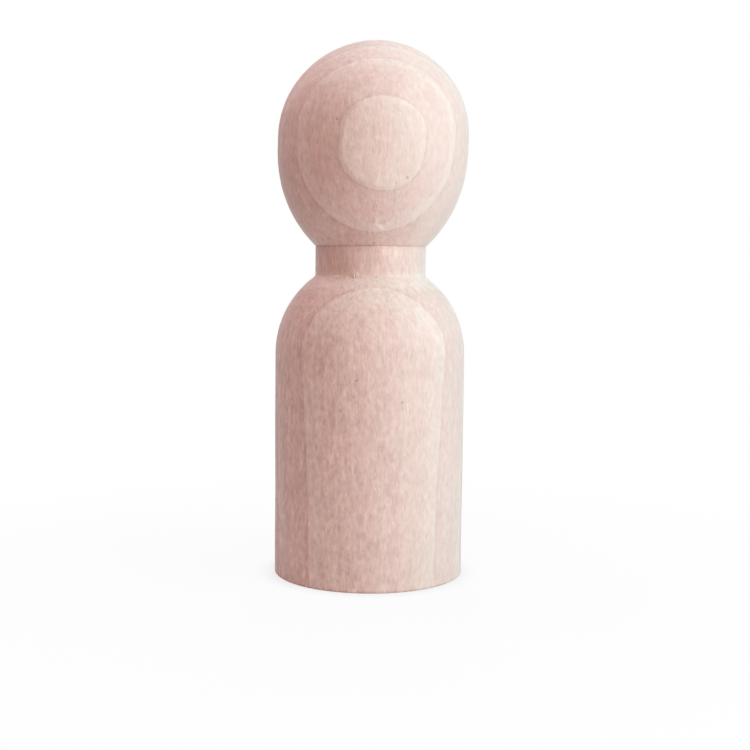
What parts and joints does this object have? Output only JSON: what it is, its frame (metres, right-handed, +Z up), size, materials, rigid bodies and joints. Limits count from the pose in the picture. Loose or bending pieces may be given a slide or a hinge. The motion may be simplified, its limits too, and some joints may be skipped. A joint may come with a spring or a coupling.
{
  "type": "peg doll",
  "caption": "Plain turned wooden peg doll: a straight round body with domed shoulders and a short neck, and an egg-shaped head that turns on a hidden dowel.",
  "frame": {"origin": "centre of the flat base, on the surface the doll stands on", "axes": "+Z up along the turning axis, from the base to the crown; -Y towards the viewer, where the growth rings face"},
  "size_m": [0.0358, 0.0358, 0.1],
  "materials": {
    "pale_hardwood": "bare, sanded",
    "dowel_beech": "bare, planed"
  },
  "bodies": {
    "body": {"body": "pale_hardwood", "neck_dowel": "dowel_beech"},
    "head": {"head": "pale_hardwood"}
  },
  "joints": [
    {"name": "head_turn", "type": "hinge", "parent": "body", "child": "head", "pos_m": [0, 0, 0.0621], "axis": [0, 0, 1], "continuous": true}
  ]
}
